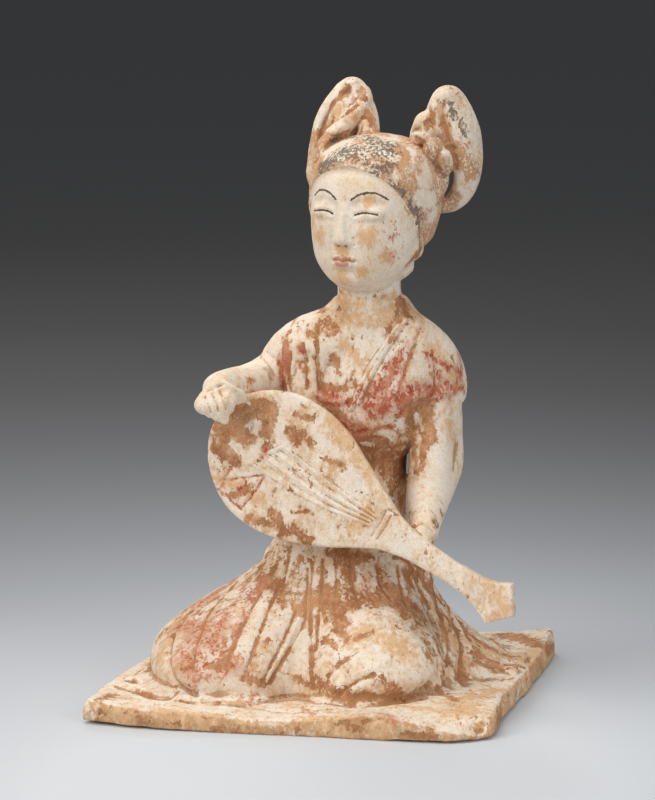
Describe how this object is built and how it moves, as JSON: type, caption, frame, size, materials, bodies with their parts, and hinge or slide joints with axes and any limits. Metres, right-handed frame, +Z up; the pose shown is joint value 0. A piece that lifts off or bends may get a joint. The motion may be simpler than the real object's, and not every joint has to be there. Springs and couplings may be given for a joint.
{
  "type": "tang tomb attendant figure",
  "caption": "Kneeling lute player in white-slipped, painted earthenware, fired in one piece with a square plinth; hair in two upright loops, skirt spread over the slab.",
  "frame": {"origin": "middle of the underside of the plinth, on the plane it stands on", "axes": "X across the figure, positive to the figure's left; Y from the front to the back; Z up from the underside; the figure faces -Y"},
  "size_m": [0.1884, 0.1826, 0.2866],
  "materials": {
    "slipped_earthenware": "low-fired buff-orange earthenware under a chalky white slip, worn, with traces of red and black pigment; dry and unglazed"
  },
  "bodies": {
    "root": {"lute_player_figure": "slipped_earthenware"}
  },
  "joints": []
}
